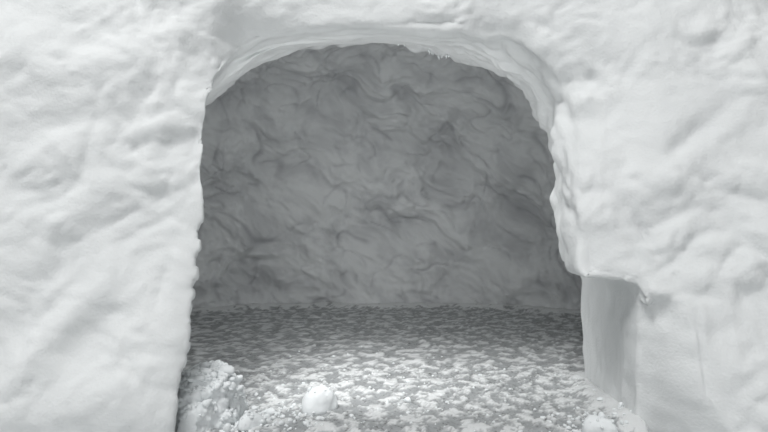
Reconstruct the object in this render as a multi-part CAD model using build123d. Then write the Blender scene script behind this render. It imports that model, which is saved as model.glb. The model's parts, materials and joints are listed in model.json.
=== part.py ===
"""A small snow igloo of the dug-out kind: snow is heaped and packed, its front is cut steep, and the
heap is then hollowed through an arched doorway.

X runs across the front, +Y runs in through the doorway and Z is up. The origin is at ground level
under the chamber. All lengths are in millimetres.

The packed shell is modelled in lifts, as the snow is heaped: the foot lift with the two doorway
jambs, the upper lift with the arch over the doorway, the roof lift and the roof cap.
"""

import os
from math import copysign, cos, hypot, pi, radians, sin, sqrt, tan

from build123d import *

# The heap, from its foot to its top
HEAP_HALF_WIDTH = 1420.0
HEAP_FRONT_DEPTH = 1380.0  # from the heap's middle line forward, before the front is cut
HEAP_BACK_DEPTH = 1085.0
HEAP_HEIGHT = 1380.0
HEAP_MIDDLE_Y = -100.0
HEAP_RISE_POWER = 1.8  # between a cone, 1, and a half-round dome, 2
HEAP_PLAN_POWERS = (2.2, 2.2)  # at the front and the back, where 2 is an ellipse

# The steep front, cut as a wide hollow curve that leans back and runs softly into the heap
FRONT_FOOT_Y = -985.0
FRONT_LEAN = 13.0  # degrees from upright
FRONT_CURVE_RADIUS = 2500.0
FRONT_CRISPNESS = 9.0  # a higher power gives the cut a sharper rim

# The chamber, dug out by hand inside walls that are thickest at the ground
FRONT_WALL = 320.0
SIDE_WALL = 440.0
BACK_WALL = 550.0
ROOF_THICKNESS = 370.0
CHAMBER_FRONT_Y = FRONT_FOOT_Y + FRONT_WALL
CHAMBER_BACK_Y = HEAP_MIDDLE_Y + HEAP_BACK_DEPTH - BACK_WALL
CHAMBER_MIDDLE_Y = (CHAMBER_FRONT_Y + CHAMBER_BACK_Y) / 2
CHAMBER_HALF_DEPTH = (CHAMBER_BACK_Y - CHAMBER_FRONT_Y) / 2
CHAMBER_HALF_WIDTH = HEAP_HALF_WIDTH - SIDE_WALL
CHAMBER_HEIGHT = HEAP_HEIGHT - ROOF_THICKNESS
CHAMBER_RISE_POWER = 2.2
CHAMBER_PLAN_POWERS = (2.6, 2.4)

# The doorway: nearly square-headed outside, and rounder and wider where it meets the chamber. Each
# squareness is that of the arch's left and right half, where 2 is half an ellipse.
DOORWAY_LEFT = -326.0
DOORWAY_RIGHT = 345.0
DOORWAY_BATTER = 14.0  # how much wider each side is at its foot
INNER_ARCH_DROP = 130.0  # below the chamber's ceiling
OUTER_ARCH_DROP = 88.0  # below the top of the inner arch
INNER_ARCH_TOP = CHAMBER_HEIGHT - INNER_ARCH_DROP
DOORWAY_TOP = INNER_ARCH_TOP - OUTER_ARCH_DROP
DOORWAY_ARCH_RISE = 230.0
DOORWAY_SQUARENESS = (3.4, 2.8)
INNER_ARCH_RISE = 500.0
INNER_ARCH_SPLAYS = (236.0, 120.0)  # wider than the lip on the left and on the right
INNER_ARCH_SQUARENESS = (2.25, 2.35)
LIP_LENGTH = 70.0  # how far the outer outline runs in before the splay starts on the right
LIP_LEFT_SPLAY = 38.0  # on the left the doorway widens from the very edge
LIP_START_Y = FRONT_FOOT_Y - 15.0
LIP_END_Y = LIP_START_Y + LIP_LENGTH
PASSAGE_INNER_Y = CHAMBER_FRONT_Y + 285.0

# The spade cuts at the foot of the right jamb
REBATE_DEPTH = 110.0  # how much wider the doorway is below the rebate's ledge
REBATE_TOP = 300.0
REBATE_BACK_Y = CHAMBER_FRONT_Y + 60.0  # it runs through into the chamber
SHAVED_PANEL_SETBACK = 70.0  # behind the foot of the front face
SHAVED_PANEL_TOP = REBATE_TOP - 40.0
SHAVED_PANEL_WIDTH = 75.0
SHAVED_PANEL_TOE_WIDTH = 150.0
SHAVED_PANEL_TOE_TOP = 120.0

# The trampled floor inside the walls
FLOOR_THICKNESS = 30.0
FLOOR_SPLIT_Y = CHAMBER_FRONT_Y + 25.0

# The lifts that the shell is heaped in, and how each is divided round the chamber
FOOT_LIFT_TOP = HEAP_HEIGHT * 0.36
UPPER_LIFT_TOP = DOORWAY_TOP + 155.0
ROOF_LIFT_TOP = CHAMBER_HEIGHT + 170.0
ARCH_TOP_HALF_WIDTH = 170.0
FULL_TURN = 360.0  # degrees
WALL_SECTORS = ("right_front", "right_back", "back_right", "back_left", "left_back", "left_front")
WALL_SECTOR = 45.0
FRONT_SECTOR = FULL_TURN - WALL_SECTOR * len(WALL_SECTORS)
FRONT_START = FULL_TURN * 3 / 4 - FRONT_SECTOR / 2  # anticlockwise from +X
ROOF_SECTORS = ("back_right", "back", "back_left", "front_left", "front", "front_right")
ROOF_SECTOR = FULL_TURN / len(ROOF_SECTORS)

# Loose snow on the floor: place across, place in from the front's foot, half width, half depth,
# height and turn of each lump
CLODS = {
    "round_clod": (-128.0, 150.0, 34.0, 31.0, 47.0, 20.0),
    "long_clod": (-238.0, 58.0, 25.0, 16.0, 26.0, 35.0),
    "corner_clod": (376.0, 27.0, 27.0, 20.0, 30.0, -50.0),
}
CRUMB_HEAP = (-334.0, 100.0, 60.0, 84.0, 92.0, 0.0)

# Uneven packing, as waves round each form: how many, how high as a share of the radius, and how far
# each starts and leans with height, in radians
HEAP_WAVES = ((3, 0.018, 0.6, 1.4), (5, 0.013, 2.2, -1.8), (8, 0.006, 0.3, 2.6))
CHAMBER_WAVES = ((4, 0.020, 1.1, 1.6), (7, 0.012, 0.2, -2.4))
CLOD_WAVES = ((2, 0.10, 0.4, 0.8), (3, 0.07, 1.7, -1.1))

# How finely the rounded forms are drawn
OUTLINE_POINTS = 36
RISE_ANGLES = (0, 13, 26, 39, 52, 64, 75, 84)  # degrees up the rounded profile
ARCH_POINTS = 13
REACH = 2400.0  # how far cutting tools run past the heap


def signed_power(value, power):
    """A power of the value's size, with the value's sign."""
    return copysign(abs(value) ** power, value)


def level_outline(half_width, depths, plan_powers, waves, scale, height_share):
    """Points of one level outline about the form's middle, anticlockwise from +X."""
    points = []
    for step in range(OUTLINE_POINTS):
        turn = 2 * pi * step / OUTLINE_POINTS
        at_back = sin(turn) >= 0
        power = 2 / plan_powers[at_back]
        wave = 1 + sum(
            size * sin(count * turn + start + lean * height_share)
            for count, size, start, lean in waves
        )
        x = scale * wave * half_width * signed_power(cos(turn), power)
        y = scale * wave * depths[at_back] * signed_power(sin(turn), power)
        points.append((x, y))
    return points


def front_cut(points, level):
    """The same outline once its front is cut steep: each point is drawn in along its own ray."""
    # The hollow curve is an arc round a point in front of the heap.
    arc_y = FRONT_FOOT_Y - HEAP_MIDDLE_Y + level * tan(radians(FRONT_LEAN)) - FRONT_CURVE_RADIUS
    cut_points = []
    for x, y in points:
        reach = hypot(x, y)
        across, ahead = x / reach, y / reach
        # The ray from the middle meets the arc where its distance from the arc's middle is the radius.
        towards = ahead * arc_y
        inside = towards**2 - arc_y**2 + FRONT_CURVE_RADIUS**2
        if ahead < 0 and inside > 0 and towards - sqrt(inside) > 0:
            to_cut = towards - sqrt(inside)
            shrink = (1 + (reach / to_cut) ** FRONT_CRISPNESS) ** (-1 / FRONT_CRISPNESS)
            reach *= shrink
        cut_points.append((across * reach, ahead * reach))
    return cut_points


def domed_form(
    half_width, depths, height, rise_power=2.0, plan_powers=(2.0, 2.0), waves=(), reshape=None
):
    """A rounded form with a flat foot at Z 0, lofted through level outlines to its top point."""
    sections = []
    for angle in RISE_ANGLES:
        level = height * sin(radians(angle)) ** (2 / rise_power)
        scale = cos(radians(angle)) ** (2 / rise_power)
        points = level_outline(half_width, depths, plan_powers, waves, scale, level / height)
        if reshape:
            points = reshape(points, level)
        edge = Edge.make_spline([(x, y, level) for x, y in points], periodic=True)
        sections.append(Wire([edge]))
    return Solid.make_loft([*sections, Vertex(0, 0, height)])


def block(x_span, y_span, z_span):
    """A plain block over the given spans."""
    (x0, x1), (y0, y1), (z0, z1) = x_span, y_span, z_span
    return Solid.make_box(x1 - x0, y1 - y0, z1 - z0, Plane((x0, y0, z0)))


def sector(start, width, z_span):
    """The wedge of one lift between two directions from the chamber's middle, in degrees."""
    z0, z1 = z_span
    corners = [Vector(0, CHAMBER_MIDDLE_Y, z0)]
    for angle in (start, start + width / 2, start + width):
        direction = Vector(cos(radians(angle)), sin(radians(angle)), 0)
        corners.append(corners[0] + direction * REACH)
    return Solid.extrude(Face(Wire.make_polygon(corners)), Vector(0, 0, z1 - z0))


def one_solid(shape):
    """The single solid that a cut is meant to leave."""
    solids = shape.solids()
    if len(solids) != 1:
        raise ValueError(f"a cut left {len(solids)} solids in place of one")
    return solids[0]


def heap():
    """The packed heap with its front cut steep, before it is hollowed."""
    return domed_form(
        HEAP_HALF_WIDTH,
        (HEAP_FRONT_DEPTH, HEAP_BACK_DEPTH),
        HEAP_HEIGHT,
        HEAP_RISE_POWER,
        HEAP_PLAN_POWERS,
        HEAP_WAVES,
        front_cut,
    ).moved(Location((0, HEAP_MIDDLE_Y, 0)))


def chamber():
    """The space of the chamber, from the ground to its ceiling."""
    return domed_form(
        CHAMBER_HALF_WIDTH,
        (CHAMBER_HALF_DEPTH, CHAMBER_HALF_DEPTH),
        CHAMBER_HEIGHT,
        CHAMBER_RISE_POWER,
        CHAMBER_PLAN_POWERS,
        CHAMBER_WAVES,
    ).moved(Location((0, CHAMBER_MIDDLE_Y, 0)))


def arch_outline(y, lean, left, right, top, rise, squareness):
    """The doorway's outline at one depth: a level foot, two sides and a flattened arch. It leans
    back from upright by a number of degrees."""
    middle = (left + right) / 2
    half_span = (right - left) / 2
    springing = top - rise
    arch = []
    for step in range(ARCH_POINTS):
        turn = pi * step / (ARCH_POINTS - 1)
        power = 2 / squareness[cos(turn) > 0]
        x = middle + half_span * signed_power(cos(turn), power)
        z = springing + rise * abs(sin(turn)) ** power
        arch.append((x, y + z * tan(radians(lean)), z))
    left_foot = (left - DOORWAY_BATTER, y, 0)
    right_foot = (right + DOORWAY_BATTER, y, 0)
    return Wire(
        [
            Edge.make_line(left_foot, right_foot),
            Edge.make_line(right_foot, arch[0]),
            Edge.make_spline(arch),
            Edge.make_line(arch[-1], left_foot),
        ]
    )


def doorway():
    """The space of the doorway, splayed inwards from the lip to the chamber."""
    head = (DOORWAY_RIGHT, DOORWAY_TOP, DOORWAY_ARCH_RISE, DOORWAY_SQUARENESS)
    left_splay, right_splay = INNER_ARCH_SPLAYS
    inner = (
        DOORWAY_LEFT - left_splay,
        DOORWAY_RIGHT + right_splay,
        INNER_ARCH_TOP,
        INNER_ARCH_RISE,
        INNER_ARCH_SQUARENESS,
    )
    outlines = [
        arch_outline(-REACH, FRONT_LEAN, DOORWAY_LEFT, *head),
        arch_outline(LIP_START_Y, FRONT_LEAN, DOORWAY_LEFT, *head),
        arch_outline(LIP_END_Y, FRONT_LEAN, DOORWAY_LEFT - LIP_LEFT_SPLAY, *head),
        arch_outline(PASSAGE_INNER_Y, 0, *inner),
    ]
    return Solid.make_loft(outlines, ruled=True)


def rebate():
    """The spade cut that widens the doorway at the foot of its right side."""
    return block((0, DOORWAY_RIGHT + REBATE_DEPTH), (-REACH, REBATE_BACK_Y), (0, REBATE_TOP))


def shaved_panel():
    """The upright face shaved beside the rebate, with a wider toe."""
    start = DOORWAY_RIGHT + REBATE_DEPTH
    profile = [
        (DOORWAY_RIGHT, 0),
        (start + SHAVED_PANEL_TOE_WIDTH, 0),
        (start + SHAVED_PANEL_WIDTH, SHAVED_PANEL_TOE_TOP),
        (start + SHAVED_PANEL_WIDTH, SHAVED_PANEL_TOP),
        (DOORWAY_RIGHT, SHAVED_PANEL_TOP),
    ]
    face_y = FRONT_FOOT_Y + SHAVED_PANEL_SETBACK
    face = Face(Wire.make_polygon([Vector(x, face_y, z) for x, z in profile]))
    return Solid.extrude(face, Vector(0, -REACH, 0))


def wall_pieces(shell, lift, span):
    """The parts of one lift round the sides and back of the chamber."""
    pieces = {}
    for number, place in enumerate(WALL_SECTORS):
        start = FRONT_START + FRONT_SECTOR + number * WALL_SECTOR
        pieces[f"{lift}_wall_{place}"] = one_solid(sector(start, WALL_SECTOR, span) & shell)
    return pieces


def foot_lift(shell):
    """The two jambs, and the foot of the wall round the chamber."""
    span = (0, FOOT_LIFT_TOP)
    front = sector(FRONT_START, FRONT_SECTOR, span) & shell
    left, right = sorted(front.solids(), key=lambda solid: solid.center().X)
    return {"left_jamb": left, "right_jamb": right, **wall_pieces(shell, "foot", span)}


def upper_lift(shell):
    """The arch over the doorway in three parts, and the upper wall round the chamber."""
    span = (FOOT_LIFT_TOP, UPPER_LIFT_TOP)
    front = sector(FRONT_START, FRONT_SECTOR, span) & shell
    parts = {
        "arch_left_haunch": (-REACH, -ARCH_TOP_HALF_WIDTH),
        "arch_top": (-ARCH_TOP_HALF_WIDTH, ARCH_TOP_HALF_WIDTH),
        "arch_right_haunch": (ARCH_TOP_HALF_WIDTH, REACH),
    }
    pieces = wall_pieces(shell, "upper", span)
    for name, x_span in parts.items():
        pieces[name] = one_solid(front & block(x_span, (-REACH, REACH), span))
    return pieces


def roof(shell):
    """The roof lift over the chamber's shoulders, and the cap that closes it."""
    span = (UPPER_LIFT_TOP, ROOF_LIFT_TOP)
    pieces = {}
    for number, place in enumerate(ROOF_SECTORS):
        part = sector(number * ROOF_SECTOR, ROOF_SECTOR, span)
        pieces[f"roof_{place}"] = one_solid(part & shell)
    cap_space = block((-REACH, REACH), (-REACH, REACH), (ROOF_LIFT_TOP, HEAP_HEIGHT + REACH))
    pieces["roof_cap"] = one_solid(cap_space & shell)
    return pieces


def floor(hollow, whole):
    """The trampled floor, inside the walls and out to the foot of the front face."""
    parts = {"doorway_floor": (-REACH, FLOOR_SPLIT_Y), "chamber_floor": (FLOOR_SPLIT_Y, REACH)}
    pieces = {}
    for name, y_span in parts.items():
        # The block starts below ground so that its underside lies clear of the floor's own.
        slab = block((-REACH, REACH), y_span, (-REACH, FLOOR_THICKNESS))
        pieces[name] = one_solid(hollow & slab & whole)
    return pieces


def lump(x, from_front, half_width, half_depth, height, turn):
    """A loose lump of snow lying on the floor."""
    form = domed_form(half_width, (half_depth, half_depth), height, waves=CLOD_WAVES)
    return form.moved(Location((x, FRONT_FOOT_Y + from_front, FLOOR_THICKNESS), (0, 0, turn)))


def main():
    """Builds every piece and writes one file for each."""
    whole = heap()
    hollow = one_solid(chamber() + doorway() + rebate())
    shell = one_solid(whole - hollow - shaved_panel())
    pieces = {
        **foot_lift(shell),
        **upper_lift(shell),
        **roof(shell),
        **floor(hollow, whole),
    }
    for name, sizes in CLODS.items():
        pieces[name] = lump(*sizes)
    pieces["crumb_heap"] = one_solid(lump(*CRUMB_HEAP) - pieces["left_jamb"])
    os.makedirs("parts", exist_ok=True)
    for name, piece in pieces.items():
        export_step(piece, f"parts/{name}.step")
    print(f"{len(pieces)} pieces, {sum(p.volume for p in pieces.values()) / 1e9:.3f} cubic metres")


if __name__ == "__main__":
    main()
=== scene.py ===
"""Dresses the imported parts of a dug-out snow igloo in lumpy, hand-worked snow.

The walls, arch and roof are one continuous skin of snow that is worked by hand and then divided
into the parts of the CAD model. The trampled floor, the loose snow on it and the rime at the arch
are pieces of their own. All lengths are in metres, in the frame of the CAD model: X runs across
the front, +Y runs in through the doorway and Z is up.
"""

import json
import logging
import math
import random
from collections.abc import Iterable, Sequence
from dataclasses import dataclass, field
from enum import Enum

import bmesh
import bpy
from bmesh.types import BMEdge, BMesh, BMVert
from mathutils import Matrix, Vector, noise
from mathutils.bvhtree import BVHTree
from mathutils.geometry import delaunay_2d_cdt

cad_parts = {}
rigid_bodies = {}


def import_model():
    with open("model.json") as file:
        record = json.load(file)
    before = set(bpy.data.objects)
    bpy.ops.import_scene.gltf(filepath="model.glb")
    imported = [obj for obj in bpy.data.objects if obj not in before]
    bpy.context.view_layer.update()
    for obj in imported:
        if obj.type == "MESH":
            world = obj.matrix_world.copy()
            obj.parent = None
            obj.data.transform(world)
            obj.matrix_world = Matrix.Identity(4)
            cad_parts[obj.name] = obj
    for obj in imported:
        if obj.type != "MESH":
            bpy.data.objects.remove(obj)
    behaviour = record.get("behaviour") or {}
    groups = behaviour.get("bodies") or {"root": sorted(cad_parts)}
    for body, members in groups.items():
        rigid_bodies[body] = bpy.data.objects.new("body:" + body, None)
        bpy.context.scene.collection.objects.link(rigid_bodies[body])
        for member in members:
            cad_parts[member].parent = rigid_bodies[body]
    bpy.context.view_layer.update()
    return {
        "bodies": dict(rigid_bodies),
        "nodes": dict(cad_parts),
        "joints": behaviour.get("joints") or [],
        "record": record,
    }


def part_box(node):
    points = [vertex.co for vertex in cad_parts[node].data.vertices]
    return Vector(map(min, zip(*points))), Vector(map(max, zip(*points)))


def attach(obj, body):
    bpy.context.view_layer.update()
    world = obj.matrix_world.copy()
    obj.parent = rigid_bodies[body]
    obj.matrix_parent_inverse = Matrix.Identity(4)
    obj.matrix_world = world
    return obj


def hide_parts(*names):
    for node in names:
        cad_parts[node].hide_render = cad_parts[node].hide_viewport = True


LOG = logging.getLogger("snow_igloo")

BODY = "root"
MERGE_DISTANCE = 0.00005
CUT_TOLERANCE = 0.000001
ICE_IOR = 1.31
ORIGIN = Vector()
UP = Vector((0, 0, 1))
NOISE_SEED = 3  # without one, each run would bend the folds another way
INSIDE_THE_RIM = 1  # the kind of triangles that the constrained triangulation gives

# Attributes that the meshes carry
SKIN_NORMAL = "skin_normal"
# How much painted shade darkens the hollows and creases, from 0 to 1
HOLLOW_SHADE = "hollow"
FRESH = "fresh"

# Sockets of a colour Mix node, whose names repeat
MIX_FIRST = 6
MIX_SECOND = 7
MIX_RESULT = 2

# How the CAD model divides each lift of the shell, in degrees anticlockwise from +X
WALL_START = 315.0
WALL_SECTOR = 45.0
WALL_PLACES = ("right_front", "right_back", "back_right", "back_left", "left_back", "left_front")
ROOF_SECTOR = 60.0
ROOF_PLACES = ("back_right", "back", "back_left", "front_left", "front", "front_right")
FRONT_START = 225.0
FRONT_SECTOR = 90.0


class Region(Enum):
    """The parts of the snow skin that were worked in different ways."""

    OUTSIDE = "outside"
    FRONT = "front"
    PASSAGE = "passage"
    CHAMBER = "chamber"


def to_linear(colour: str) -> tuple[float, float, float, float]:
    """Turns an sRGB hex colour into linear red, green, blue and alpha.

    Args:
        colour: The colour as six hex digits after a hash.

    Returns:
        The linear values, with an alpha of 1.
    """
    channels = [int(colour[start : start + 2], 16) / 255 for start in (1, 3, 5)]
    linear = [c / 12.92 if c <= 0.04045 else ((c + 0.055) / 1.055) ** 2.4 for c in channels]
    return (linear[0], linear[1], linear[2], 1.0)


def ramp(low: float, high: float, value: float) -> float:
    """Rises softly from 0 at the low value to 1 at the high one."""
    share = min(max((value - low) / (high - low), 0.0), 1.0)
    return share * share * (3 - 2 * share)


def add_node(
    tree: bpy.types.NodeTree,
    kind: str,
    settings: dict[str, object] | None = None,
    inputs: dict[str | int, object] | None = None,
) -> bpy.types.Node:
    """Adds a shader node with its settings, values and links.

    Args:
        tree: The node tree that the node goes into.
        kind: The node's type name.
        settings: Attributes of the node, by name.
        inputs: Values or output sockets, by the input's name or number.

    Returns:
        The new node.
    """
    node = tree.nodes.new(kind)
    for name, value in (settings or {}).items():
        setattr(node, name, value)
    for name, value in (inputs or {}).items():
        if isinstance(value, bpy.types.NodeSocket):
            tree.links.new(value, node.inputs[name])
        else:
            node.inputs[name].default_value = value
    return node


def empty_material(name: str) -> bpy.types.Material:
    """Makes a material with no nodes yet.

    Args:
        name: The material's name.

    Returns:
        The material.
    """
    material = bpy.data.materials.new(name)
    material.use_nodes = True
    material.node_tree.nodes.clear()
    return material


@dataclass(frozen=True)
class SnowFinish:
    """Snow as a matte, faintly cool white with a grain of ice crystals.

    The grain's scale follows from a real size in millimetres. Real crystals of 1 mm are too fine to
    show, so the grain is drawn a few times coarser.
    """

    name: str
    bright: str
    shaded: str
    hollow_shade_grey: str = "#A9ABAE"  # painted shade in the hollows and creases, where the mesh marks them
    grain_mm: float = 5.0
    grain_depth_mm: float = 1.0
    lump_mm: float = 45.0
    lump_depth_mm: float = 1.6
    patch_lumps: float = 3.0  # how many lumps wide a patch of shade is
    roughness: float = 0.85
    specular: float = 0.25

    def material(self) -> bpy.types.Material:
        """Builds the material.

        Returns:
            The material.
        """
        material = empty_material(self.name)
        tree = material.node_tree
        place = add_node(tree, "ShaderNodeTexCoord").outputs["Object"]
        scale = 1000 / (self.lump_mm * self.patch_lumps)
        patches = add_node(
            tree, "ShaderNodeTexNoise", inputs={"Vector": place, "Scale": scale, "Detail": 4.0}
        )
        shades = {MIX_FIRST: to_linear(self.shaded), MIX_SECOND: to_linear(self.bright)}
        colour = add_node(
            tree,
            "ShaderNodeMix",
            {"data_type": "RGBA"},
            {"Factor": patches.outputs["Fac"], **shades},
        )
        # Painted shade: the hollow attribute greys the hollows and creases
        hollow = add_node(tree, "ShaderNodeAttribute", {"attribute_name": HOLLOW_SHADE})
        shades = {MIX_FIRST: colour.outputs[MIX_RESULT], MIX_SECOND: to_linear(self.hollow_shade_grey)}
        shaded_hollows = add_node(
            tree,
            "ShaderNodeMix",
            {"data_type": "RGBA"},
            {"Factor": hollow.outputs["Fac"], **shades},
        )
        shader = add_node(
            tree,
            "ShaderNodeBsdfPrincipled",
            inputs={
                "Base Color": shaded_hollows.outputs[MIX_RESULT],
                "Roughness": self.roughness,
                "Specular IOR Level": self.specular,
                "IOR": ICE_IOR,
                "Normal": self.relief(tree, place),
            },
        )
        add_node(tree, "ShaderNodeOutputMaterial", inputs={"Surface": shader.outputs["BSDF"]})
        return material

    def relief(
        self, tree: bpy.types.NodeTree, place: bpy.types.NodeSocket
    ) -> bpy.types.NodeSocket:
        """Adds the soft lumps and the fine grain as bump.

        Args:
            tree: The material's node tree.
            place: The socket that gives the place on the object.

        Returns:
            The socket of the bumped normal.
        """
        normal: bpy.types.NodeSocket | None = None
        for size, depth in (
            (self.lump_mm, self.lump_depth_mm),
            (self.grain_mm, self.grain_depth_mm),
        ):
            scale = 1000 / size
            texture = add_node(
                tree, "ShaderNodeTexNoise", inputs={"Vector": place, "Scale": scale, "Detail": 3.0}
            )
            inputs: dict[str | int, object] = {
                "Height": texture.outputs["Fac"],
                "Distance": depth / 1000,
                "Strength": 1.0,
            }
            if normal is not None:
                inputs["Normal"] = normal
            normal = add_node(tree, "ShaderNodeBump", inputs=inputs).outputs["Normal"]
        return normal


def placed(name: str, data: bpy.types.ID) -> bpy.types.Object:
    """Makes an object and puts it in the scene.

    Args:
        name: The object's name.
        data: Its mesh, lamp or camera.

    Returns:
        The object.
    """
    holder = bpy.data.objects.new(name, data)
    bpy.context.scene.collection.objects.link(holder)
    return holder


def merged_copy(nodes: Iterable[bpy.types.Object]) -> BMesh:
    """Joins copies of CAD nodes' meshes and merges their loose triangles.

    Args:
        nodes: The CAD nodes' objects.

    Returns:
        The joined mesh.
    """
    joined = bmesh.new()
    for node in nodes:
        joined.from_mesh(node.data)
    bmesh.ops.remove_doubles(joined, verts=joined.verts[:], dist=MERGE_DISTANCE)
    return joined


def remeshed(source: BMesh, voxel: float) -> BMesh:
    """Turns a mesh of joined solids into one even skin of quads.

    Args:
        source: The joined mesh, which is freed.
        voxel: The size of the new faces.

    Returns:
        The new mesh.
    """
    mesh = bpy.data.meshes.new("to_remesh")
    source.to_mesh(mesh)
    source.free()
    holder = placed("to_remesh", mesh)
    remesh = holder.modifiers.new("even_skin", "REMESH")
    remesh.mode = "VOXEL"
    remesh.voxel_size = voxel
    remesh.use_smooth_shade = True
    depsgraph = bpy.context.evaluated_depsgraph_get()
    even = bpy.data.meshes.new_from_object(holder.evaluated_get(depsgraph))
    skin = bmesh.new()
    skin.from_mesh(even)
    bpy.data.objects.remove(holder)
    bpy.data.meshes.remove(mesh)
    bpy.data.meshes.remove(even)
    return skin


def relax(mesh: BMesh, verts: Sequence[BMVert]) -> None:
    """Smooths points once, each halfway to the middle of its neighbours.

    Args:
        mesh: The mesh that they belong to.
        verts: The points.
    """
    bmesh.ops.smooth_vert(
        mesh, verts=verts, factor=0.5, use_axis_x=True, use_axis_y=True, use_axis_z=True
    )


def close_flat(part: BMesh, rim: Sequence[BMEdge], normal: Vector) -> None:
    """Closes a flat rim that has no holes in it with flat triangles.

    The fill operator drops whole caps where a ragged rim touches itself, so the triangles come from
    a constrained triangulation.

    Args:
        part: The mesh that the rim belongs to.
        rim: The rim's edges.
        normal: The way that the new faces point.
    """
    verts = list(dict.fromkeys(vert for edge in rim for vert in edge.verts))
    numbers = {vert: number for number, vert in enumerate(verts)}
    across = normal.orthogonal().normalized()
    upward = normal.cross(across)
    flat = [Vector((vert.co.dot(across), vert.co.dot(upward))) for vert in verts]
    edges = [tuple(numbers[vert] for vert in edge.verts) for edge in rim]
    found = delaunay_2d_cdt(flat, edges, [], INSIDE_THE_RIM, MERGE_DISTANCE / 100)
    places, _, triangles, origins, _, _ = found
    foot = normal * verts[0].co.dot(normal)
    corners = [
        verts[origin[0]] if origin else part.verts.new(across * place.x + upward * place.y + foot)
        for place, origin in zip(places, origins, strict=True)
    ]
    for triangle in triangles:
        part.faces.new([corners[number] for number in triangle]).smooth = False


def cut(source: BMesh, planes: Sequence[tuple[Vector, Vector]]) -> BMesh:
    """Keeps what lies behind every plane, and closes each cut with a flat face.

    Args:
        source: The mesh to cut, which is kept as it is.
        planes: A point and an outward normal for each plane.

    Returns:
        The part that is left.
    """
    part = source.copy()
    for point, normal in planes:
        result = bmesh.ops.bisect_plane(
            part,
            geom=part.verts[:] + part.edges[:] + part.faces[:],
            dist=CUT_TOLERANCE,
            plane_co=point,
            plane_no=normal,
            clear_outer=True,
        )
        edges = [found for found in result["geom_cut"] if isinstance(found, BMEdge)]
        rim = [edge for edge in edges if edge.is_boundary]
        if rim:
            close_flat(part, rim, normal)
    return part


def keep_normals(skin: BMesh) -> None:
    """Notes each point's normal, so that a cut through the skin doesn't show.

    Args:
        skin: The worked mesh.
    """
    skin.normal_update()
    kept = skin.verts.layers.float_vector.new(SKIN_NORMAL)
    for vert in skin.verts:
        vert[kept] = vert.normal


@dataclass(frozen=True)
class Stroke:
    """One mark of a shovel or a hand on the front: a soft ridge, or a hollow below 0."""

    across: float
    up: float
    half_length: float
    half_width: float
    turn: float  # degrees from level, rising to the right
    height: float
    skew: float = 0.0  # above 0, the upper side is steeper
    faded: float = 6.0  # how far out, in squared widths, the mark has faded away

    def lift(self, place: Vector) -> float:
        """How far the snow stands out at a place.

        Args:
            place: The point on the front.

        Returns:
            The height there, below 0 in a hollow.
        """
        turn = math.radians(self.turn)
        x, z = place.x - self.across, place.z - self.up
        along = (x * math.cos(turn) + z * math.sin(turn)) / self.half_length
        beside = (z * math.cos(turn) - x * math.sin(turn)) / self.half_width
        spread = along * along + beside * beside
        if spread > self.faded:
            return 0.0
        return self.height * math.exp(-spread) * (1 + self.skew * beside)


@dataclass(frozen=True)
class Flare:
    """A place where the doorway's edge is hollowed back into a soft funnel."""

    across: float
    up: float
    radius: float
    move: tuple[float, float, float]

    def shift(self, place: Vector) -> Vector:
        """How far a place near the doorway's edge moves."""
        spread = ((place.x - self.across) ** 2 + (place.z - self.up) ** 2) / self.radius**2
        return Vector(self.move) * math.exp(-spread)


FLARES = (
    Flare(-0.275, 0.740, 0.085, (-0.022, 0.060, 0.020)),
    Flare(-0.150, 0.800, 0.080, (0.0, 0.025, 0.010)),
    Flare(0.330, 0.640, 0.120, (0.026, 0.055, 0.010)),
    Flare(0.240, 0.780, 0.070, (0.010, 0.030, 0.012)),
)

# The marks that show in the photograph's view: place across and up, half length, half width, turn,
# height and skew
STROKES = (
    # Left of the doorway: the diagonal ridge, its hollow, and the lumps by the jamb
    Stroke(-0.540, 0.220, 0.170, 0.034, 54, 0.017, 0.4),
    Stroke(-0.605, 0.115, 0.100, 0.050, 42, 0.012),
    Stroke(-0.500, 0.200, 0.070, 0.032, 52, -0.010),
    Stroke(-0.391, 0.288, 0.055, 0.010, 82, -0.008),
    Stroke(-0.446, 0.180, 0.024, 0.012, 75, 0.009),
    Stroke(-0.470, 0.110, 0.060, 0.030, 20, 0.009),
    Stroke(-0.590, 0.700, 0.130, 0.040, -12, 0.010),
    Stroke(-0.610, 0.470, 0.090, 0.040, 14, -0.011),
    Stroke(-0.507, 0.439, 0.095, 0.045, 22, 0.010),
    Stroke(-0.540, 0.585, 0.100, 0.022, 8, -0.008),
    Stroke(-0.448, 0.709, 0.026, 0.020, 60, 0.010),
    Stroke(-0.406, 0.680, 0.022, 0.026, 20, 0.009),
    Stroke(-0.425, 0.560, 0.030, 0.020, 70, 0.007),
    Stroke(-0.405, 0.455, 0.034, 0.018, 65, -0.006),
    # Right of the doorway: the band that rises to the right with its undercut, and the creases
    Stroke(0.585, 0.525, 0.150, 0.026, 41, 0.010, 0.4),
    Stroke(0.560, 0.556, 0.080, 0.015, 41, -0.008),
    Stroke(0.470, 0.375, 0.055, 0.007, -72, -0.007),
    Stroke(0.377, 0.625, 0.019, 0.018, 8, 0.013),
    Stroke(0.398, 0.680, 0.020, 0.015, 0, -0.011),
    Stroke(0.345, 0.590, 0.110, 0.012, 88, -0.009),
    Stroke(0.470, 0.475, 0.080, 0.034, 35, 0.008),
    Stroke(0.600, 0.330, 0.110, 0.045, 24, 0.011),
    Stroke(0.560, 0.270, 0.090, 0.024, 16, -0.005),
    Stroke(0.640, 0.160, 0.070, 0.040, 50, 0.010),
    Stroke(0.484, 0.274, 0.022, 0.013, -8, 0.012),
    # Over the doorway: lumps along the lip
    Stroke(0.172, 0.815, 0.026, 0.024, 0, 0.007),
    Stroke(0.262, 0.805, 0.024, 0.026, 0, 0.008),
    Stroke(-0.080, 0.860, 0.060, 0.024, 5, 0.006),
)


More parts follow.
